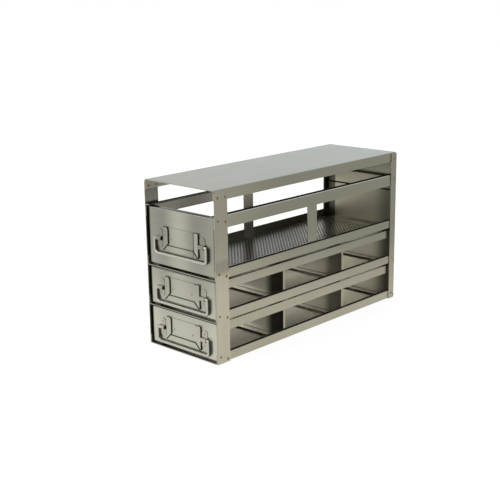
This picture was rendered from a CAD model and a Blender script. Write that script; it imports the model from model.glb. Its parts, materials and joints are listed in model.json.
"""Looks of a stainless freezer drawer rack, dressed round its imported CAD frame."""

import json
import math
import random

import bmesh
import bpy
from mathutils import Matrix, Vector


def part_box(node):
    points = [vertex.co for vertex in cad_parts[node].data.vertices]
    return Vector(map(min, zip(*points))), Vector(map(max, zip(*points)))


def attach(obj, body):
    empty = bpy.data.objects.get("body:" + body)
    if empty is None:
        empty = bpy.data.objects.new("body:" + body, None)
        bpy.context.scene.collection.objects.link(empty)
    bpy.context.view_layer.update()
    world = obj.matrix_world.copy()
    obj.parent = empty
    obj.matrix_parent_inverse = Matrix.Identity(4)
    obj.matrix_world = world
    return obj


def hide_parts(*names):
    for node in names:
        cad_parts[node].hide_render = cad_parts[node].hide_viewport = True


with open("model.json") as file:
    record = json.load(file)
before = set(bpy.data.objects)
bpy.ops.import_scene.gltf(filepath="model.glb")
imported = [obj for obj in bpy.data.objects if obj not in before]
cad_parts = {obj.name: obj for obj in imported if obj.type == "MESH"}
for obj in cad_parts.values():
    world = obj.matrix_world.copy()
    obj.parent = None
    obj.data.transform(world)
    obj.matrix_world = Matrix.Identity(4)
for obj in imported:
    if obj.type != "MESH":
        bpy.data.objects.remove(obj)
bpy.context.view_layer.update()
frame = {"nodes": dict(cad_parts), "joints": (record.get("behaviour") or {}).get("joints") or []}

bl_info = {
    "name": "Freezer drawer rack",
    "version": (1, 0, 0),
    "blender": (4, 5, 0),
    "location": "View3D > Sidebar > Rack",
    "description": "Gives a stainless drawer rack its finishes, bails, straps and weld marks",
    "category": "Object",
}

NODES = frame["nodes"]
FRONT_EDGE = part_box("post_front_left")[0].y
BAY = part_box("shelf_middle")[0].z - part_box("shelf_bottom")[0].z
PIVOTS = {joint["child"]: Vector(joint["pos_m"]) for joint in frame["joints"] if joint["type"] == "hinge"}

MM = 0.001
SHEET = 1.2 * MM
DRAWERS = ("tall", "middle", "bottom")
SIDES = (("left", -1), ("right", 1))
SHELVES = ("shelf_upper", "shelf_middle", "shelf_bottom")
GRAIN_AXES = {"x": 0, "y": 1, "z": 2}


# Node trees

class Wire:
    """An output socket; arithmetic on it adds Math nodes to its tree."""

    def __init__(self, tree, socket):
        self.tree = tree
        self.socket = socket

    def _math(self, operation, first, second):
        return self.tree.add("ShaderNodeMath", {"operation": operation}, {0: first, 1: second})

    def __add__(self, other):
        return self._math("ADD", self, other)

    def __radd__(self, other):
        return self._math("ADD", other, self)

    def __sub__(self, other):
        return self._math("SUBTRACT", self, other)

    def __rsub__(self, other):
        return self._math("SUBTRACT", other, self)

    def __mul__(self, other):
        return self._math("MULTIPLY", self, other)

    def larger(self, other):
        return self._math("MAXIMUM", self, other)

    def size(self):
        return self._math("ABSOLUTE", self, 0.0)

    def wrapped(self, step):
        return self._math("FLOORED_MODULO", self, step)

    def part(self, axis):
        """One of the X, Y and Z parts of a vector."""
        return self.tree.add("ShaderNodeSeparateXYZ", None, {0: self}, axis)

    def scaled(self, amount):
        """A colour made darker or lighter."""
        return self.tree.add("ShaderNodeVectorMath", {"operation": "SCALE"}, {0: self, "Scale": amount})

    def spread(self, low, high):
        """The value run smoothly from 0 at low to 1 at high."""
        settings = {"interpolation_type": "SMOOTHSTEP"}
        inputs = {"Value": self, "From Min": low, "From Max": high}
        return self.tree.add("ShaderNodeMapRange", settings, inputs)


class Tree:
    """A node tree that is filled by one method."""

    def __init__(self, owner):
        owner.use_nodes = True
        self.nodes = owner.node_tree.nodes
        self.links = owner.node_tree.links
        self.nodes.clear()

    def add(self, kind, settings=None, inputs=None, output=0):
        """Adds a node, sets it up, feeds its sockets and returns one of its outputs."""
        node = self.nodes.new(kind)
        for name, value in (settings or {}).items():
            if name == "stops":
                self._set_stops(node.color_ramp, value)
            else:
                setattr(node, name, value)
        for name, value in (inputs or {}).items():
            if isinstance(value, Wire):
                self.links.new(value.socket, node.inputs[name])
            else:
                node.inputs[name].default_value = value
        return Wire(self, node.outputs[output]) if node.outputs else None

    @staticmethod
    def _set_stops(ramp, stops):
        while len(ramp.elements) < len(stops):
            ramp.elements.new(1.0)
        for element, (position, colour) in zip(ramp.elements, stops):
            element.position = position
            element.color = (*colour, 1.0)

    def place(self):
        """Position on the piece, in the rack's own frame."""
        return self.add("ShaderNodeTexCoord", output="Object")

    def noise(self, place, scale, detail=2.0, roughness=0.5):
        """Noise whose cells are 1 / scale metres long in X, Y and Z."""
        stretched = self.add("ShaderNodeMapping", None, {"Vector": place, "Scale": scale})
        inputs = {"Vector": stretched, "Scale": 1.0, "Detail": detail, "Roughness": roughness}
        return self.add("ShaderNodeTexNoise", None, inputs, "Fac")

    def tint(self, factor, first, second):
        """Colour between first and second."""
        inputs = {0: factor, 6: first, 7: second}
        return self.add("ShaderNodeMix", {"data_type": "RGBA"}, inputs, 2)

    def facing(self):
        """Direction a face looks in."""
        return self.add("ShaderNodeNewGeometry", output="Normal")


def solid(colour):
    """A colour with full alpha."""
    return (*colour, 1.0)


def shade(colour, amount):
    """A colour made darker or lighter."""
    return tuple(min(1.0, channel * amount) for channel in colour)


# Properties

class RackSteelLook(bpy.types.PropertyGroup):
    """Colours and finish of the sheet and rod."""

    cover: bpy.props.FloatVectorProperty(
        name="Cover", description="Colour of the top cover at the front", subtype="COLOR",
        default=(0.285, 0.292, 0.255))
    cover_rear: bpy.props.FloatVectorProperty(
        name="Cover rear", description="Colour of the top cover at the rear", subtype="COLOR",
        default=(0.285, 0.322, 0.30))
    bend: bpy.props.FloatVectorProperty(
        name="Bends", description="Colour of the bends along upper edges, rubbed bright", subtype="COLOR",
        default=(0.50, 0.49, 0.44))
    frame: bpy.props.FloatVectorProperty(
        name="Frame", description="Colour of the posts, shelves and guides", subtype="COLOR",
        default=(0.345, 0.33, 0.275))
    side_low: bpy.props.FloatVectorProperty(
        name="Sides below", description="Colour of the outer sides near the base", subtype="COLOR",
        default=(0.38, 0.358, 0.275))
    side_high: bpy.props.FloatVectorProperty(
        name="Sides above", description="Colour of the outer sides at the top and towards the rear",
        subtype="COLOR", default=(0.205, 0.202, 0.156))
    front_low: bpy.props.FloatVectorProperty(
        name="Fronts below", description="Colour of the lowest front", subtype="COLOR",
        default=(0.455, 0.445, 0.372))
    front_high: bpy.props.FloatVectorProperty(
        name="Fronts above", description="Colour of the highest front beside its sheen", subtype="COLOR",
        default=(0.25, 0.25, 0.208))
    drawer: bpy.props.FloatVectorProperty(
        name="Drawers", description="Colour of the drawers' other sheet", subtype="COLOR",
        default=(0.37, 0.35, 0.29))
    mesh: bpy.props.FloatVectorProperty(
        name="Floor", description="Colour of the perforated floor", subtype="COLOR",
        default=(0.34, 0.33, 0.28))
    rod: bpy.props.FloatVectorProperty(
        name="Rod", description="Colour of the bails", subtype="COLOR", default=(0.50, 0.49, 0.43))
    deck: bpy.props.FloatVectorProperty(
        name="Decks", description="Colour of the shelves' and feet's upper faces", subtype="COLOR",
        default=(0.74, 0.72, 0.63))
    under: bpy.props.FloatVectorProperty(
        name="Undersides", description="Colour of the faces that look down and of the lit inner walls",
        subtype="COLOR", default=(0.60, 0.58, 0.50))
    lip: bpy.props.FloatVectorProperty(
        name="Lips", description="Dark colour of rubbed lips, cut edges and the insides of folds",
        subtype="COLOR", default=(0.03, 0.03, 0.028))
    inner_tone: bpy.props.FloatProperty(
        name="Inner tone", description="Tone of the faces that look into the rack", subtype="FACTOR",
        default=0.6)
    roughness: bpy.props.FloatProperty(
        name="Roughness", description="Mean roughness of the sheet", subtype="FACTOR", default=0.30)
    grain_width: bpy.props.FloatProperty(
        name="Grain width", description="Width of one brush line", unit="LENGTH", default=0.35 * MM)
    grain_length: bpy.props.FloatProperty(
        name="Grain length", description="Length of one brush line", unit="LENGTH", default=28 * MM)
    grain_depth: bpy.props.FloatProperty(
        name="Grain depth", description="Depth of a brush line", unit="LENGTH", default=0.006 * MM)


class RackHandleShape(bpy.types.PropertyGroup):
    """Sizes of the bails and of the straps that hold them."""

    rod_diameter: bpy.props.FloatProperty(
        name="Rod diameter", description="Diameter of the bail rod", unit="LENGTH", default=4.5 * MM)
    pivot_bend: bpy.props.FloatProperty(
        name="Pivot bend", description="Bend radius at the pivots, on the middle line", unit="LENGTH",
        default=3.05 * MM)
    bar_bend: bpy.props.FloatProperty(
        name="Bar bend", description="Bend radius at the bottom bar, on the middle line", unit="LENGTH",
        default=5.85 * MM)
    rod_chamfer: bpy.props.FloatProperty(
        name="Rod chamfer", description="Chamfer of the cut rod ends", unit="LENGTH", default=0.6 * MM)
    pin_short: bpy.props.FloatProperty(
        name="Pin setback", description="Depth of the empty end of a strap's loop", unit="LENGTH",
        default=3.0 * MM)
    strap_thickness: bpy.props.FloatProperty(
        name="Strap thickness", description="Thickness of a bracket strap", unit="LENGTH", default=1.0 * MM)
    strap_fillet: bpy.props.FloatProperty(
        name="Strap fillet", description="Bend radius where a strap leaves the front", unit="LENGTH",
        default=1.3 * MM)
    strap_chamfer: bpy.props.FloatProperty(
        name="Strap edge", description="Rounding of a strap's edges", unit="LENGTH", default=0.2 * MM)


class RackFloorShape(bpy.types.PropertyGroup):
    """Perforation of the tall drawer's floor."""

    hole: bpy.props.FloatProperty(
        name="Hole", description="Diameter of a hole", unit="LENGTH", default=2.9 * MM)
    pitch: bpy.props.FloatProperty(
        name="Pitch", description="Distance between the holes of one row", unit="LENGTH", default=6.5 * MM)
    border: bpy.props.FloatProperty(
        name="Border", description="Least plain border round the holes", unit="LENGTH", default=6.0 * MM)


class RackWeldLook(bpy.types.PropertyGroup):
    """Spot-weld marks."""

    radius: bpy.props.FloatProperty(
        name="Radius", description="Radius of a weld mark", unit="LENGTH", default=2.2 * MM)
    lip: bpy.props.FloatProperty(
        name="Lip", description="Height of the raised ring round a mark", unit="LENGTH", default=0.12 * MM)
    burnt: bpy.props.FloatVectorProperty(
        name="Burnt", description="Colour of a strong mark", subtype="COLOR", default=(0.15, 0.092, 0.034))
    faint: bpy.props.FloatVectorProperty(
        name="Faint", description="Colour of a weak mark", subtype="COLOR", default=(0.26, 0.19, 0.115))


class RackStageLook(bpy.types.PropertyGroup):
    """Camera, floor and light."""

    camera_place: bpy.props.FloatVectorProperty(
        name="Camera place", description="Where the camera stands", subtype="TRANSLATION",
        default=(0.99247, -1.11109, 0.50784))
    azimuth: bpy.props.FloatProperty(
        name="Azimuth", description="Camera angle round the rack", subtype="ANGLE",
        default=math.radians(43.5385))
    elevation: bpy.props.FloatProperty(
        name="Elevation", description="Camera angle above the horizon", subtype="ANGLE",
        default=math.radians(14.8137))
    roll: bpy.props.FloatProperty(
        name="Roll", description="Camera tilt about its own axis", subtype="ANGLE",
        default=math.radians(-0.8447))
    lens: bpy.props.FloatProperty(
        name="Lens", description="Focal length on a 36 mm sensor", unit="CAMERA", default=70.2027)
    backdrop: bpy.props.FloatVectorProperty(
        name="Backdrop", description="Colour of the studio", subtype="COLOR", default=(1.0, 1.0, 1.0))
    fill: bpy.props.FloatProperty(
        name="Fill", description="Strength of the light from all round", default=0.6)
    softbox: bpy.props.FloatProperty(
        name="Softbox", description="Power of the lamp above the rack", unit="POWER", default=12.0)
    floor_glow: bpy.props.FloatProperty(
        name="Floor glow", description="Share of the floor's white that no shadow darkens", subtype="FACTOR",
        default=0.86)
    floor_shade: bpy.props.FloatProperty(
        name="Floor shade", description="Share of the floor's white that shadows darken", subtype="FACTOR",
        default=0.28)


def seen_directly(tree):
    """1 for rays that show the studio itself, 0 for rays that only carry its light."""
    seen = tree.add("ShaderNodeLightPath", output="Is Camera Ray")
    for name in ("Is Glossy Ray", "Is Transmission Ray"):
        seen = seen.larger(tree.add("ShaderNodeLightPath", output=name))
    return seen


# Steel finishes

def depth_at(place):
    """Distance behind the rack's front edge."""
    return place.part(1) - FRONT_EDGE


def above_shelf(place):
    """Height above the deck of the shelf below."""
    return (place.part(2) - SHEET).wrapped(BAY)


def under_foot(place):
    """1 in the narrow gap under a foot, 0 higher up."""
    return above_shelf(place).spread(3.2 * MM, 2.2 * MM)


def side_colour(tree, place):
    """Colour of the outer sides: light near the base and the front edge, darker up and back."""
    look = bpy.context.scene.rack_steel
    depth = depth_at(place)
    height = place.part(2)
    climb = (height + depth * 0.2).spread(77 * MM, 209 * MM)
    near = depth.spread(145 * MM, 0.0)
    base = tree.tint(climb * (1 - near * 0.36), solid(look.side_low), solid(look.side_high))
    low = height.spread(134 * MM, 126 * MM)
    band = height.spread(128 * MM, 136 * MM) * height.spread(154 * MM, 147 * MM)
    post = depth.spread(30 * MM, 25 * MM)
    return base.scaled(1 + post * (low * 0.17 - band * 0.2))


def front_colour(tree, place):
    """Colour of the fronts: light at the base, with an upright sheen that gets stronger upwards."""
    look = bpy.context.scene.rack_steel
    across = place.part(0)
    height = place.part(2)
    climb = height.spread(22 * MM, 182 * MM)
    band = (across + 5 * MM).size().spread(36 * MM, 0.0)
    edge = across.size().spread(38 * MM, 64 * MM) * 0.16
    rim = across.spread(-65 * MM, -66.5 * MM) * 0.85 + across.spread(65 * MM, 67 * MM) * climb * 0.7
    base = tree.tint(climb, solid(look.front_low), solid(look.front_high))
    worn = height.spread(118 * MM, 118.8 * MM) * height.spread(122 * MM, 121 * MM)
    sheen = band * (0.05 + climb * climb * 0.6)
    return base.scaled((1 + sheen + edge) * (1 - rim) * (1 - worn * 0.85))


def label_colour(node):
    """Colour of a label holder: dark in its folds and right mitre, with a brighter right fold."""
    low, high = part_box(node)

    def colour(tree, place):
        look = bpy.context.scene.rack_steel
        across = place.part(0)
        plate = (place.part(1) - (low.y + high.y) / 2).spread(-0.2 * MM, 0.2 * MM)
        left = across.spread(low.x + 11.2 * MM, low.x + 10.6 * MM)
        right = across.spread(high.x - 11.5 * MM, high.x - 11.0 * MM)
        inset = high.x - across
        tall = place.part(2).spread(110 * MM, 150 * MM)
        crease = inset.spread(6.6 * MM, 7.2 * MM) * inset.spread(9.4 * MM, 8.8 * MM) * tall
        gleam = 1 + inset.spread(8.0 * MM, 7.2 * MM) * tall * 0.45
        mitre = inset - (place.part(2) - low.z)
        cut = mitre.spread(-2.4 * MM, -1.6 * MM) * mitre.spread(1.2 * MM, 0.4 * MM)
        cut = cut * inset.spread(11.4 * MM, 11.0 * MM)
        folded = (plate * left.larger(right)).larger((1 - plate) * cut.larger(crease * 0.6))
        return tree.tint(folded, front_colour(tree, place).scaled(gleam), solid(look.lip))

    return colour


def cover_colour(tree, place):
    """Colour of the cover's top: a little bluer towards the rear."""
    look = bpy.context.scene.rack_steel
    return tree.tint(depth_at(place).spread(0.0, 425 * MM), solid(look.cover), solid(look.cover_rear))


def divider_colour(tree, place):
    """Colour of the dividers' fronts: bright to the left, dark towards the right edge and under the foot."""
    look = bpy.context.scene.rack_steel
    rear = depth_at(place).spread(160 * MM, 260 * MM)
    dawn = tree.tint(rear, solid(shade(look.under, 1.5)), solid(look.under))
    dusk = tree.tint(rear, solid(shade(look.drawer, 0.3)), solid(shade(look.drawer, 0.7)))
    base = tree.tint(place.part(0).spread(27 * MM, 45 * MM), dawn, dusk)
    return tree.tint(under_foot(place), base, solid(look.lip))


def back_colour(tree, place):
    """Colour of the back panels' fronts: bright to the left, darker towards the right and under the foot."""
    look = bpy.context.scene.rack_steel
    tall = place.part(2).spread(120 * MM, 124 * MM)
    left = tree.tint(tall, solid(shade(look.under, 1.5)), solid(shade(look.side_low, 1.05)))
    right = tree.tint(tall, solid(shade(look.drawer, 0.45)), solid(shade(look.side_high, 0.9)))
    base = tree.tint(place.part(0).spread(25 * MM, 60 * MM), left, right)
    return tree.tint(under_foot(place), base, solid(look.lip))


def deck_colour(tree, place):
    """Colour of the shelves' upper faces: lighter towards the rear, darker at the left."""
    look = bpy.context.scene.rack_steel
    near, far = (solid(shade(look.deck, tone)) for tone in (0.5, 1.2))
    base = tree.tint(depth_at(place).spread(140 * MM, 320 * MM), near, far)
    return base.scaled(1 - place.part(0).spread(0.0, -50 * MM) * 0.45)


def mesh_colour(tree, place):
    """Colour of the perforated floor's upper face: lighter towards the rear, darker at the left."""
    look = bpy.context.scene.rack_steel
    near, far = (solid(shade(look.mesh, tone)) for tone in (0.4, 1.5))
    base = tree.tint(depth_at(place).spread(250 * MM, 360 * MM), near, far)
    return base.scaled(1 - place.part(0).spread(20 * MM, -30 * MM) * 0.4)


def worn_colour(tree, place):
    """Dark colour of folded edges."""
    return solid(bpy.context.scene.rack_steel.lip)


def wall_colour(tree, place):
    """Colour inside the floor's holes."""
    return solid(shade(bpy.context.scene.rack_steel.mesh, 0.25))


def foot_colour(node):
    """Colour of a foot's upper face: light, with a dark line along its front edge."""
    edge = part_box(node)[0].y

    def colour(tree, place):
        look = bpy.context.scene.rack_steel
        rim = (place.part(1) - edge).spread(1.5 * MM, 0.9 * MM)
        return tree.tint(rim, solid(look.deck), solid(look.lip))

    return colour


def runner_colour(tree, place):
    """Colour of the runners' outer faces: dark along the upper edge, where the shelf's flange rubs."""
    look = bpy.context.scene.rack_steel
    rubbed = above_shelf(place).spread(10 * MM, 11 * MM)
    return tree.tint(rubbed, side_colour(tree, place), solid(look.lip))


def rail_colour(tree, place):
    """Colour of the drawer rails' outer faces: dark along the upper edge of the middle drawer's rail."""
    look = bpy.context.scene.rack_steel
    rise = place.part(2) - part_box("middle_rail_left")[1].z
    rubbed = rise.spread(-1.2 * MM, -0.8 * MM) * rise.spread(2 * MM, 1 * MM)
    return tree.tint(rubbed, side_colour(tree, place), solid(look.lip))


def metal(tree, base, rough, relief=None, strength=0.0, depth=0.0):
    """Bare metal, with a bump where relief is given."""
    inputs = {"Base Color": base, "Metallic": 1.0, "Roughness": rough}
    if relief:
        bump = {"Strength": strength, "Distance": depth, "Height": relief}
        inputs["Normal"] = tree.add("ShaderNodeBump", None, bump, "Normal")
    return tree.add("ShaderNodeBsdfPrincipled", None, inputs, "BSDF")


def brushed_steel(name, colour, grain, roughness, up=None, inward=None, front=None, bend=None, corner=1.0,
                  outward=side_colour):
    """Stainless sheet with brush lines along one axis, broad rolling streaks and faint smears.

    Faces that look up, forwards, outwards or towards the middle of the rack can have colours of their own,
    and so can bends that look partly up. Up, front and outward may be functions of the tree and the place.
    Corner is the tone near the rack's sides.
    """
    look = bpy.context.scene.rack_steel
    material = bpy.data.materials.new(name)
    tree = Tree(material)
    place = tree.place()
    along = GRAIN_AXES[grain]

    def stretched(length, width):
        return tuple(1 / (length if axis == along else width) for axis in range(3))

    lines = tree.noise(place, stretched(look.grain_length, look.grain_width), 2.0, 0.6)
    streaks = tree.noise(place, stretched(240 * MM, 5 * MM), 3.0, 0.55)
    smears = tree.noise(place, stretched(60 * MM, 45 * MM), 3.0, 0.5)
    specks = tree.noise(place, stretched(3 * MM, 2 * MM), 2.0, 0.5)

    facing = tree.facing()
    aside = facing.part(0) * place.part(0)
    base = tree.tint(facing.part(2).spread(-0.6, -0.9), solid(colour), solid(look.under))
    base = tree.tint(aside.spread(20 * MM, 40 * MM), base, outward(tree, place))
    base = tree.tint(aside.spread(-20 * MM, -40 * MM), base, solid(inward or colour))
    if front:
        base = tree.tint(facing.part(1).spread(-0.5, -0.9), base, front(tree, place))
    if bend:
        base = tree.tint(facing.part(2).spread(0.2, 0.6), base, solid(bend))
    if up:
        top = up(tree, place) if callable(up) else solid(up)
        base = tree.tint(facing.part(2).spread(0.6, 0.9), base, top)
    across = place.part(0)
    shadow = across.spread(-52 * MM, -54 * MM).larger(across.spread(63 * MM, 65 * MM)) * (1 - corner)
    tone = 1 + (streaks - 0.5) * 0.18 + (smears - 0.5) * 0.14 + (lines - 0.5) * 0.07
    base = base.scaled(tone * (1 - shadow))

    rough = roughness + (streaks - 0.5) * 0.10 + (smears - 0.5) * 0.14 + (specks - 0.5) * 0.05
    surface = metal(tree, base, rough, lines * 0.8 + streaks * 0.2, 0.6, look.grain_depth)
    # A near-black metal still shines at a flat angle, so the darkest faces turn matt
    grime = tree.add("ShaderNodeBsdfDiffuse", None, {"Color": solid(look.lip)})
    both = tree.add("ShaderNodeMixShader", None, {0: base.part(0).spread(0.08, 0.04), 1: surface, 2: grime})
    tree.add("ShaderNodeOutputMaterial", None, {"Surface": both})
    return material


def drawn_rod(name, colour):
    """Drawn stainless rod: fine rings, a bright polish and darker handling marks."""
    material = bpy.data.materials.new(name)
    tree = Tree(material)
    place = tree.place()
    scratches = tree.noise(place, (1 / (0.6 * MM), 1 / (2 * MM), 1 / (0.6 * MM)), 3.0, 0.6)
    marks = tree.noise(place, (1 / (14 * MM),) * 3, 3.0, 0.5)
    tone = 0.5 + (marks - 0.5) * 1.2 + (scratches - 0.5) * 0.4
    base = tree.tint(tone, solid(shade(colour, 0.85)), solid(shade(colour, 1.1)))
    base = tree.tint(tree.facing().part(0).spread(0.6, 0.85), base, solid(shade(colour, 0.2)))
    rough = 0.24 + (marks - 0.5) * 0.12 + (scratches - 0.5) * 0.06
    surface = metal(tree, base, rough, scratches, 0.4, 0.01 * MM)
    tree.add("ShaderNodeOutputMaterial", None, {"Surface": surface})
    return material


def weld_scale(name, core, rim):
    """Heat tint of a spot weld: burnt in the middle, straw-coloured towards the steel."""
    material = bpy.data.materials.new(name)
    tree = Tree(material)
    reach = tree.add("ShaderNodeAttribute", {"attribute_name": "weld_reach"}, None, "Fac")
    soot = tree.noise(tree.place(), (1 / (0.5 * MM),) * 3, 2.0, 0.6)
    spread = reach + (soot - 0.5) * 0.35
    stops = [(0.0, shade(core, 1.5)), (0.35, core), (0.7, shade(core, 1.3)), (1.0, rim)]
    base = tree.add("ShaderNodeValToRGB", {"stops": stops}, {"Fac": spread}, "Color")
    surface = metal(tree, base, 0.5 - reach * 0.15)
    tree.add("ShaderNodeOutputMaterial", None, {"Surface": surface})
    return material


def dress(nodes, material):
    """Gives CAD nodes a material."""
    for name in nodes:
        slots = NODES[name].material_slots
        if not slots:
            raise RuntimeError(f"{name} has no material slot")
        for slot in slots:
            slot.material = material


# Mesh helpers

def new_piece(name, mesh_maker, material, body, smooth_angle=30):
    """A mesh object that rides on a body, made by filling a bmesh."""
    mesh = bpy.data.meshes.new(name)
    work = bmesh.new()
    mesh_maker(work)
    bmesh.ops.recalc_face_normals(work, faces=work.faces)
    work.to_mesh(mesh)
    work.free()
    mesh.materials.append(material)
    mesh.shade_smooth()
    mesh.set_sharp_from_angle(angle=math.radians(smooth_angle))
    piece = bpy.data.objects.new(name, mesh)
    bpy.context.scene.collection.objects.link(piece)
    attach(piece, body)
    return piece


def skin(work, rings):
    """Joins closed rings of equal length into a tube and closes its ends."""
    loops = [[work.verts.new(point) for point in ring] for ring in rings]
    count = len(loops[0])
    for first, second in zip(loops, loops[1:]):
        for index in range(count):
            following = (index + 1) % count
            work.faces.new((first[index], first[following], second[following], second[index]))
    work.faces.new(list(reversed(loops[0])))
    work.faces.new(loops[-1])


def arc(centre, radius, start, end, steps):
    """Points of an arc in a plane, angles in degrees."""
    angles = [math.radians(start + (end - start) * step / steps) for step in range(steps + 1)]
    return [(centre[0] + radius * math.cos(angle), centre[1] + radius * math.sin(angle)) for angle in angles]


def headings(path):
    """Unit directions along a plane path, one for each point."""
    last = len(path) - 1
    result = []
    for index in range(len(path)):
        before = path[max(index - 1, 0)]
        after = path[min(index + 1, last)]
        result.append(Vector((after[0] - before[0], after[1] - before[1])).normalized())
    return result


# Bails

def bail_line(drawer, shape):
    """Middle line of a bail as X and Z about its pivot, from the left pin to the right one."""
    radius = shape.rod_diameter / 2
    low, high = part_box(f"{drawer}_bail")
    arm = high.x - radius
    drop = PIVOTS[f"{drawer}_bail"].z - low.z - radius
    pin_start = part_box(f"{drawer}_bracket_right")[0].x + shape.pin_short
    pin_end = arm - shape.pivot_bend
    bar_end = arm - shape.bar_bend
    half = [(pin_start, 0.0)]
    half += arc((pin_end, -shape.pivot_bend), shape.pivot_bend, 90, 0, 10)
    half += arc((bar_end, -drop + shape.bar_bend), shape.bar_bend, 0, -90, 12)
    return [(-x, z) for x, z in half] + list(reversed(half))


def make_bail(drawer, material, shape):
    """A round rod swept along the bail's middle line, with chamfered ends."""
    pivot = PIVOTS[f"{drawer}_bail"]
    path = bail_line(drawer, shape)
    radius = shape.rod_diameter / 2
    chamfer = shape.rod_chamfer
    sections = 28

    def ring(point, heading, size):
        across = Vector((-heading.y, heading.x))
        points = []
        for index in range(sections):
            angle = 2 * math.pi * index / sections
            out = across * (size * math.cos(angle))
            points.append(pivot + Vector((point[0] + out.x, size * math.sin(angle), point[1] + out.y)))
        return points

    def build(work):
        turns = headings(path)
        step = turns[0] * chamfer
        rings = [ring(path[0], turns[0], radius - chamfer)]
        rings.append(ring((path[0][0] + step.x, path[0][1] + step.y), turns[0], radius))
        rings += [ring(point, turn, radius) for point, turn in zip(path[1:-1], turns[1:-1])]
        step = turns[-1] * chamfer
        rings.append(ring((path[-1][0] - step.x, path[-1][1] - step.y), turns[-1], radius))
        rings.append(ring(path[-1], turns[-1], radius - chamfer))
        skin(work, rings)

    piece = new_piece(f"{drawer}_drop_bail", build, material, f"{drawer}_bail")
    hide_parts(f"{drawer}_bail")


# Bracket straps

def strap_line(reach, half_length, radius, fillet, lift):
    """Side view of a strap's middle line as distance from the front and height, from its top end down."""
    corner = radius + fillet
    steps = 16
    ear = [half_length + (corner - half_length) * step / steps for step in range(steps + 1)]
    line = [(lift, height) for height in ear]
    line += arc((lift + fillet, corner), fillet, 180, 270, 6)[1:]
    line += arc((reach, 0.0), radius, 90, -90, 16)
    line += arc((lift + fillet, -corner), fillet, 90, 180, 6)
    line += [(lift, -height) for height in reversed(ear[:-1])]
    return line


def make_strap(drawer, side, material, shape):
    """A flat strap pressed over the bail's pin, with round ears against the front."""
    node = f"{drawer}_bracket_{side}"
    low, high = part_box(node)
    pivot = PIVOTS[f"{drawer}_bail"]
    face = high.y
    middle = (low.x + high.x) / 2
    half_width = (high.x - low.x) / 2
    half_length = (high.z - low.z) / 2
    thick = shape.strap_thickness / 2
    edge = shape.strap_chamfer
    reach = face - pivot.y
    radius = pivot.y - low.y - thick
    line = strap_line(reach, half_length, radius, shape.strap_fillet, thick)

    def width_at(height):
        beyond = abs(height) - (half_length - half_width)
        if beyond <= 0:
            return half_width
        return max(math.sqrt(max(half_width ** 2 - beyond ** 2, 0.0)), 3 * edge)

    def build(work):
        rings = []
        for point, heading in zip(line, headings(line)):
            out = Vector((-heading.y, heading.x))
            wide = width_at(point[1])
            corners = [
                (-wide, -thick + edge), (-wide + edge, -thick), (wide - edge, -thick), (wide, -thick + edge),
                (wide, thick - edge), (wide - edge, thick), (-wide + edge, thick), (-wide, thick - edge),
            ]
            rings.append([
                Vector((middle + x, face - point[0] - out.x * offset, pivot.z + point[1] + out.y * offset))
                for x, offset in corners])
        skin(work, rings)

    piece = new_piece(f"{drawer}_strap_{side}", build, material, f"{drawer}_drawer")
    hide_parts(node)


# Perforated floor

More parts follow.
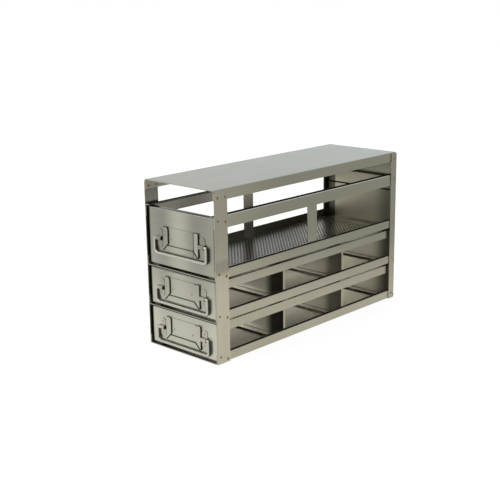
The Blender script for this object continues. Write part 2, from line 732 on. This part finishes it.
def make_floor(material, shape):
    """Sheet with round holes in staggered rows, laid out in diamond cells."""
    low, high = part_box("tall_floor")
    middle = (low + high) / 2
    half = shape.pitch / 2
    quarter = 3
    sections = 4 * quarter
    angles = [2 * math.pi * index / sections for index in range(sections)]
    circle = [Vector((math.cos(angle), math.sin(angle), 0.0)) for angle in angles]
    diamond = [ray / (abs(ray.x) + abs(ray.y)) for ray in circle]

    def rows(axis):
        """Places of the outer rows of holes and of each second row between them."""
        count = int((high[axis] - low[axis] - 2 * shape.border) // shape.pitch)
        return [middle[axis] + (index - (count - 1) / 2) * shape.pitch for index in range(count)]

    def side(x, y, turn):
        """Points along one side of the cell round a hole, counted from its right corner."""
        rays = [diamond[(turn * quarter + step) % sections] for step in range(quarter + 1)]
        return [(x + ray.x * half, y + ray.y * half) for ray in rays]

    def notches(columns, lines):
        """Plain corners and notches that square the edge of the hole field."""
        left, right, near, far = columns[0], columns[-1], lines[0], lines[-1]
        for y0, y1 in zip(lines, lines[1:]):
            yield side(left, y0, 1) + side(left, y1, 2)[:-1]
            yield side(right, y0, 0) + side(right, y1, 3)[1:]
        for x0, x1 in zip(columns, columns[1:]):
            yield side(x0, near, 3) + side(x1, near, 2)[1:]
            yield side(x0, far, 0) + side(x1, far, 1)[:-1]
        yield side(left, near, 2) + [(left - half, near - half)]
        yield side(right, near, 3) + [(right + half, near - half)]
        yield side(right, far, 0) + [(right + half, far + half)]
        yield side(left, far, 1) + [(left - half, far + half)]

    def build(work):
        def face(corners):
            work.faces.new([work.verts.new((*corner, high.z)) for corner in corners])

        columns, lines = rows(0), rows(1)
        holes = [(x, y) for x in columns for y in lines]
        holes += [(x + half, y + half) for x in columns[:-1] for y in lines[:-1]]
        for x, y in holes:
            centre = Vector((x, y, high.z))
            inner = [work.verts.new(centre + ray * (shape.hole / 2)) for ray in circle]
            outer = [work.verts.new(centre + ray * half) for ray in diamond]
            for index in range(sections):
                following = (index + 1) % sections
                work.faces.new((inner[index], outer[index], outer[following], inner[following]))
        for corners in notches(columns, lines):
            face(corners)
        xs = [columns[0] - half] + columns + [columns[-1] + half]
        ys = [lines[0] - half] + lines + [lines[-1] + half]
        for field, edge in ((ys[0], low.y), (ys[-1], high.y)):
            for x0, x1 in zip([low.x] + xs, xs + [high.x]):
                face(((x0, field), (x1, field), (x1, edge), (x0, edge)))
        for field, edge in ((xs[0], low.x), (xs[-1], high.x)):
            for y0, y1 in zip(ys, ys[1:]):
                face(((field, y0), (field, y1), (edge, y1), (edge, y0)))
        bmesh.ops.remove_doubles(work, verts=work.verts, dist=0.02 * MM)
        bmesh.ops.recalc_face_normals(work, faces=work.faces)
        made = bmesh.ops.extrude_face_region(work, geom=work.faces[:], use_keep_orig=True)
        lower = [item for item in made["geom"] if isinstance(item, bmesh.types.BMVert)]
        bmesh.ops.translate(work, vec=(0.0, 0.0, low.z - high.z), verts=lower)

    piece = new_piece("tall_floor_sheet", build, material, "tall_drawer",
                      smooth_angle=40)
    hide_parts("tall_floor")


# Weld marks

class WeldRun:
    """Collects weld marks that share one object."""

    # Share of the radius and of the lip's height, from the middle out
    RINGS = ((0.3, 0.25), (0.5, 0.35), (0.68, 0.9), (0.8, 1.0), (0.92, 0.6), (1.0, 0.0))
    SECTIONS = 20

    def __init__(self, seed):
        self.chance = random.Random(seed)
        self.marks = []

    def add(self, place, normal, size=1.0, stray=0.5 * MM):
        """Puts a mark on a face, a little off its drawn place as a hand-held welder leaves it."""
        normal = Vector(normal)
        side = normal.orthogonal().normalized()
        up = normal.cross(side)
        shift = side * self.chance.uniform(-stray, stray) + up * self.chance.uniform(-stray, stray)
        self.marks.append((Vector(place) + shift, normal, size * self.chance.uniform(0.85, 1.12)))

    def make(self, name, material, body):
        """Makes the object that holds the marks."""
        look = bpy.context.scene.rack_welds
        reach_values = []

        def build(work):
            for place, normal, size in self.marks:
                side = normal.orthogonal().normalized()
                up = normal.cross(side)
                squeeze = self.chance.uniform(0.88, 1.0)
                loops = []
                for share, rise in self.RINGS:
                    radius = look.radius * size * share
                    loop = []
                    for index in range(self.SECTIONS):
                        angle = 2 * math.pi * index / self.SECTIONS
                        flat = side * (radius * math.cos(angle)) + up * (radius * squeeze * math.sin(angle))
                        loop.append(work.verts.new(place + flat + normal * (look.lip * rise)))
                        reach_values.append(share)
                    loops.append(loop)
                for first, second in zip(loops, loops[1:]):
                    for index in range(self.SECTIONS):
                        following = (index + 1) % self.SECTIONS
                        work.faces.new((first[index], first[following], second[following], second[index]))
                work.faces.new(loops[0])

        piece = new_piece(name, build, material, body, smooth_angle=60)
        reach = piece.data.attributes.new("weld_reach", "FLOAT", "POINT")
        reach.data.foreach_set("value", reach_values)


# Operators

class RACK_OT_frame_steel(bpy.types.Operator):
    """Finish the cover, posts, shelves, guide rails and back strap"""

    bl_idname = "rack.frame_steel"
    bl_label = "Finish the frame"

    def execute(self, context):
        look = context.scene.rack_steel
        inner = shade(look.frame, look.inner_tone)
        dress(["top_cover"],
              brushed_steel("cover_sheet_steel", look.frame, "y", look.roughness, cover_colour))
        dress(SHELVES[:1],
              brushed_steel("upper_shelf_steel", look.frame, "y", look.roughness,
                            shade(look.deck, 0.45), inner))
        dress(SHELVES[1:],
              brushed_steel("shelf_steel", look.frame, "y", look.roughness, deck_colour, inner))
        dress(["guide_rail_left", "guide_rail_right"],
              brushed_steel("guide_steel", look.frame, "y", look.roughness, look.lip,
                            shade(look.side_high, 0.5), bend=look.bend))
        dress([f"post_{end}_{side}" for end in ("front", "rear") for side, _ in SIDES],
              brushed_steel("post_steel", look.frame, "z", look.roughness, None, inner))
        dress(["back_strap"],
              brushed_steel("back_strap_steel", look.side_high, "x", 0.75 * look.roughness, corner=0.25))
        return {"FINISHED"}


class RACK_OT_drawer_steel(bpy.types.Operator):
    """Finish the drawers' fronts, walls and dividers"""

    bl_idname = "rack.drawer_steel"
    bl_label = "Finish the drawers"

    def execute(self, context):
        look = context.scene.rack_steel
        inner = shade(look.drawer, look.inner_tone)
        front = brushed_steel("front_panel_steel", look.drawer, "x", look.roughness, shade(look.lip, 2.5),
                              inner, front_colour, look.bend)
        wall = brushed_steel("side_rail_steel", look.drawer, "y", look.roughness, look.lip, inner,
                             outward=rail_colour)
        runner = brushed_steel("runner_steel", look.drawer, "y", look.roughness, look.deck,
                               shade(look.side_high, 0.7), outward=runner_colour)
        back = brushed_steel("back_panel_steel", look.drawer, "x", 1.5 * look.roughness,
                             foot_colour("middle_back_panel"), front=back_colour, corner=0.25)
        tall_back = brushed_steel("tall_back_panel_steel", look.drawer, "x", 1.5 * look.roughness, look.mesh,
                                  front=back_colour, corner=0.25)
        upright = brushed_steel("strut_steel", look.drawer, "z", look.roughness, None, inner)
        for drawer in DRAWERS:
            dress([f"{drawer}_front_panel"], front)
            dress([f"{drawer}_back_panel"], tall_back if drawer == "tall" else back)
            for side, _ in SIDES:
                dress([f"{drawer}_rail_{side}"], wall)
                dress([f"{drawer}_runner_{side}"], runner)
        for place in ("front", "rear"):
            cross = brushed_steel(f"{place}_divider_steel", look.drawer, "x", look.roughness,
                                  foot_colour(f"middle_divider_{place}"), front=divider_colour)
            dress([f"{drawer}_divider_{place}" for drawer in DRAWERS[1:]], cross)
        dress(["tall_strut_left", "tall_strut_right"], upright)
        return {"FINISHED"}


class RACK_OT_floor(bpy.types.Operator):
    """Make the tall drawer's perforated floor"""

    bl_idname = "rack.floor"
    bl_label = "Make the perforated floor"

    def execute(self, context):
        look = context.scene.rack_steel
        sheet = brushed_steel("perforated_floor_steel", shade(look.mesh, 0.25), "y", look.roughness,
                              mesh_colour, outward=wall_colour)
        make_floor(sheet, context.scene.rack_floor)
        return {"FINISHED"}


class RACK_OT_label_holders(bpy.types.Operator):
    """Finish the folded label holders"""

    bl_idname = "rack.label_holders"
    bl_label = "Finish the label holders"

    def execute(self, context):
        look = context.scene.rack_steel
        for drawer in DRAWERS:
            node = f"{drawer}_label_holder"
            dress([node], brushed_steel(f"{node}_steel", look.drawer, "x", look.roughness,
                                        front=label_colour(node), outward=worn_colour))
        return {"FINISHED"}


class RACK_OT_bails(bpy.types.Operator):
    """Make the drop bails of round rod"""

    bl_idname = "rack.bails"
    bl_label = "Make the bails"

    def execute(self, context):
        rod = drawn_rod("bail_rod_steel", context.scene.rack_steel.rod)
        for drawer in DRAWERS:
            make_bail(drawer, rod, context.scene.rack_handle)
        return {"FINISHED"}


class RACK_OT_straps(bpy.types.Operator):
    """Make the pressed straps that hold the bails"""

    bl_idname = "rack.straps"
    bl_label = "Make the straps"

    def execute(self, context):
        look = context.scene.rack_steel
        sheet = brushed_steel("bracket_strap_steel", look.drawer, "z", look.roughness, front=front_colour)
        for drawer in DRAWERS:
            for side, _ in SIDES:
                make_strap(drawer, side, sheet, context.scene.rack_handle)
        return {"FINISHED"}


class RACK_OT_weld_marks(bpy.types.Operator):
    """Make the spot-weld marks of the frame and the drawer fronts"""

    bl_idname = "rack.weld_marks"
    bl_label = "Make the weld marks"

    FRONT_ROW = (6.6 * MM, 20.8 * MM)
    REAR_ROW = (9.4 * MM, 3.6 * MM)
    ROW_DROP = 2.5 * MM
    LABEL_OFFSET = 19.5 * MM
    EAR_OFFSET = 8.6 * MM
    COVER_RISE = 4.6 * MM
    LABEL_PLATE = 0.8 * MM
    FRONT_SEED = 11
    REAR_SEED = 23
    DRAWER_SEED = 41

    def execute(self, context):
        look = context.scene.rack_welds
        steel = context.scene.rack_steel
        burnt = weld_scale("burnt_weld", look.burnt, shade(steel.frame, 0.8))
        faint = weld_scale("faint_weld", look.faint, shade(steel.drawer, 0.9))
        self.frame_marks(burnt)
        for index, drawer in enumerate(DRAWERS):
            self.drawer_marks(drawer, faint, index)
        return {"FINISHED"}

    def levels(self):
        """Heights of the front and rear mark of each pair, from the cover down."""
        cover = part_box("top_cover")[0].z + self.COVER_RISE
        result = [(cover, cover)]
        guide_low, guide_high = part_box("guide_rail_right")
        middle = (guide_low.z + guide_high.z) / 2
        result.append((middle + self.ROW_DROP, middle))
        for shelf in SHELVES:
            low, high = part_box(shelf)
            middle = (low.z + high.z) / 2
            result.append((middle + self.ROW_DROP, middle - self.ROW_DROP))
        return result

    def frame_marks(self, material):
        front = WeldRun(self.FRONT_SEED)
        rear = WeldRun(self.REAR_SEED)
        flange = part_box("top_cover")[1].x
        for side, sign in SIDES:
            post_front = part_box(f"post_front_{side}")
            post_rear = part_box(f"post_rear_{side}")
            outer = post_front[1].x if sign > 0 else post_front[0].x
            inner = sign * (flange - SHEET)
            for heights in self.levels():
                for offset, height in zip(self.FRONT_ROW, heights):
                    depth = post_front[0].y + offset
                    front.add((outer, depth, height), (sign, 0, 0))
                    front.add((inner, depth, height), (-sign, 0, 0), 0.85)
                for offset, height in zip(self.REAR_ROW, heights):
                    depth = post_rear[1].y - offset
                    rear.add((outer, depth, height), (sign, 0, 0), 0.9)
        front.make("front_post_welds", material, "frame")
        rear.make("rear_post_welds", material, "frame")

    def drawer_marks(self, drawer, material, index):
        run = WeldRun(self.DRAWER_SEED + index)
        pivot = PIVOTS[f"{drawer}_bail"]
        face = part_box(f"{drawer}_front_panel")[0].y
        for sign in (-1, 1):
            run.add((sign * self.LABEL_OFFSET, face - self.LABEL_PLATE, pivot.z + MM), (0, -1, 0), 0.75)
        strap = bpy.context.scene.rack_handle.strap_thickness
        for side, _ in SIDES:
            low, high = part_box(f"{drawer}_bracket_{side}")
            for sign in (-1, 1):
                place = ((low.x + high.x) / 2, face - strap, pivot.z + sign * self.EAR_OFFSET)
                run.add(place, (0, -1, 0), 0.7)
        run.make(f"{drawer}_front_welds", material, f"{drawer}_drawer")


class RACK_OT_stage(bpy.types.Operator):
    """Make the floor, the light and the camera"""

    bl_idname = "rack.stage"
    bl_label = "Make the stage"

    FLOOR_SIZE = 40.0
    FLOOR_DROP = 0.4 * MM
    LAMP_SIZE = (2.0, 1.6)
    LAMP_PLACE = Vector((-0.5, -0.6, 2.2))
    LAMP_AIM = Vector((0.0, 0.0, 0.1))
    SENSOR_WIDTH = 36.0

    def execute(self, context):
        look = context.scene.rack_stage
        self.floor(look)
        self.world(context, look)
        self.lamps(look)
        self.camera(context, look)
        context.scene.view_settings.view_transform = "Standard"
        return {"FINISHED"}

    def floor(self, look):
        mesh = bpy.data.meshes.new("studio_floor")
        half = self.FLOOR_SIZE / 2
        outline = ((-half, -half), (half, -half), (half, half), (-half, half))
        corners = [(x, y, -self.FLOOR_DROP) for x, y in outline]
        mesh.from_pydata(corners, [], [(0, 1, 2, 3)])
        material = bpy.data.materials.new("studio_floor_white")
        tree = Tree(material)
        grey = solid(shade(look.backdrop, look.floor_shade))
        shadowed = tree.add("ShaderNodeBsdfDiffuse", None, {"Color": grey})
        white = tree.tint(seen_directly(tree), solid((0.0, 0.0, 0.0)), solid(look.backdrop))
        glow = tree.add("ShaderNodeEmission", None, {"Color": white, "Strength": look.floor_glow})
        both = tree.add("ShaderNodeAddShader", None, {0: shadowed, 1: glow})
        tree.add("ShaderNodeOutputMaterial", None, {"Surface": both})
        mesh.materials.append(material)
        floor = bpy.data.objects.new("studio_floor", mesh)
        bpy.context.scene.collection.objects.link(floor)

    def world(self, context, look):
        world = bpy.data.worlds.new("studio")
        context.scene.world = world
        tree = Tree(world)
        seen = seen_directly(tree)
        strength = seen + (1 - seen) * look.fill
        sky = tree.add("ShaderNodeBackground", None, {"Color": solid(look.backdrop), "Strength": strength})
        tree.add("ShaderNodeOutputWorld", None, {"Surface": sky})

    def lamps(self, look):
        lamp = bpy.data.lights.new("softbox", "AREA")
        lamp.shape = "RECTANGLE"
        lamp.size, lamp.size_y = self.LAMP_SIZE
        lamp.energy = look.softbox
        holder = bpy.data.objects.new("softbox", lamp)
        holder.location = self.LAMP_PLACE
        holder.rotation_euler = (self.LAMP_AIM - self.LAMP_PLACE).to_track_quat("-Z", "Y").to_euler()
        bpy.context.scene.collection.objects.link(holder)

    def camera(self, context, look):
        back = Vector((
            math.sin(look.azimuth) * math.cos(look.elevation),
            -math.cos(look.azimuth) * math.cos(look.elevation),
            math.sin(look.elevation)))
        level = Vector((math.cos(look.azimuth), math.sin(look.azimuth), 0.0))
        upright = back.cross(level)
        right = level * math.cos(look.roll) + upright * math.sin(look.roll)
        up = back.cross(right)
        turn = Matrix((right, up, back)).transposed().to_4x4()
        camera = bpy.data.cameras.new("studio_camera")
        camera.sensor_width = self.SENSOR_WIDTH
        camera.lens = look.lens
        holder = bpy.data.objects.new("studio_camera", camera)
        holder.matrix_world = Matrix.Translation(look.camera_place) @ turn
        context.scene.collection.objects.link(holder)
        context.scene.camera = holder


class RACK_PT_sidebar(bpy.types.Panel):
    """Sizes, colours and steps of the rack"""

    bl_idname = "RACK_PT_sidebar"
    bl_label = "Freezer drawer rack"
    bl_space_type = "VIEW_3D"
    bl_region_type = "UI"
    bl_category = "Rack"

    def draw(self, context):
        for group in GROUPS:
            values = getattr(context.scene, group)
            for name in values.bl_rna.properties.keys():
                if name not in ("rna_type", "name"):
                    self.layout.prop(values, name)
        for operator in STEPS:
            self.layout.operator(operator.bl_idname)


GROUPS = {
    "rack_steel": RackSteelLook,
    "rack_handle": RackHandleShape,
    "rack_floor": RackFloorShape,
    "rack_welds": RackWeldLook,
    "rack_stage": RackStageLook,
}
STEPS = (
    RACK_OT_frame_steel,
    RACK_OT_drawer_steel,
    RACK_OT_floor,
    RACK_OT_label_holders,
    RACK_OT_bails,
    RACK_OT_straps,
    RACK_OT_weld_marks,
    RACK_OT_stage,
)


def register():
    for name, group in GROUPS.items():
        bpy.utils.register_class(group)
        setattr(bpy.types.Scene, name, bpy.props.PointerProperty(type=group))
    for step in STEPS:
        bpy.utils.register_class(step)
    bpy.utils.register_class(RACK_PT_sidebar)


def unregister():
    bpy.utils.unregister_class(RACK_PT_sidebar)
    for step in reversed(STEPS):
        bpy.utils.unregister_class(step)
    for name, group in reversed(list(GROUPS.items())):
        delattr(bpy.types.Scene, name)
        bpy.utils.unregister_class(group)


def main():
    register()
    bpy.ops.rack.stage()
    bpy.ops.rack.frame_steel()
    bpy.ops.rack.drawer_steel()
    bpy.ops.rack.floor()
    bpy.ops.rack.label_holders()
    bpy.ops.rack.bails()
    bpy.ops.rack.straps()
    bpy.ops.rack.weld_marks()


if __name__ == "__main__":
    main()
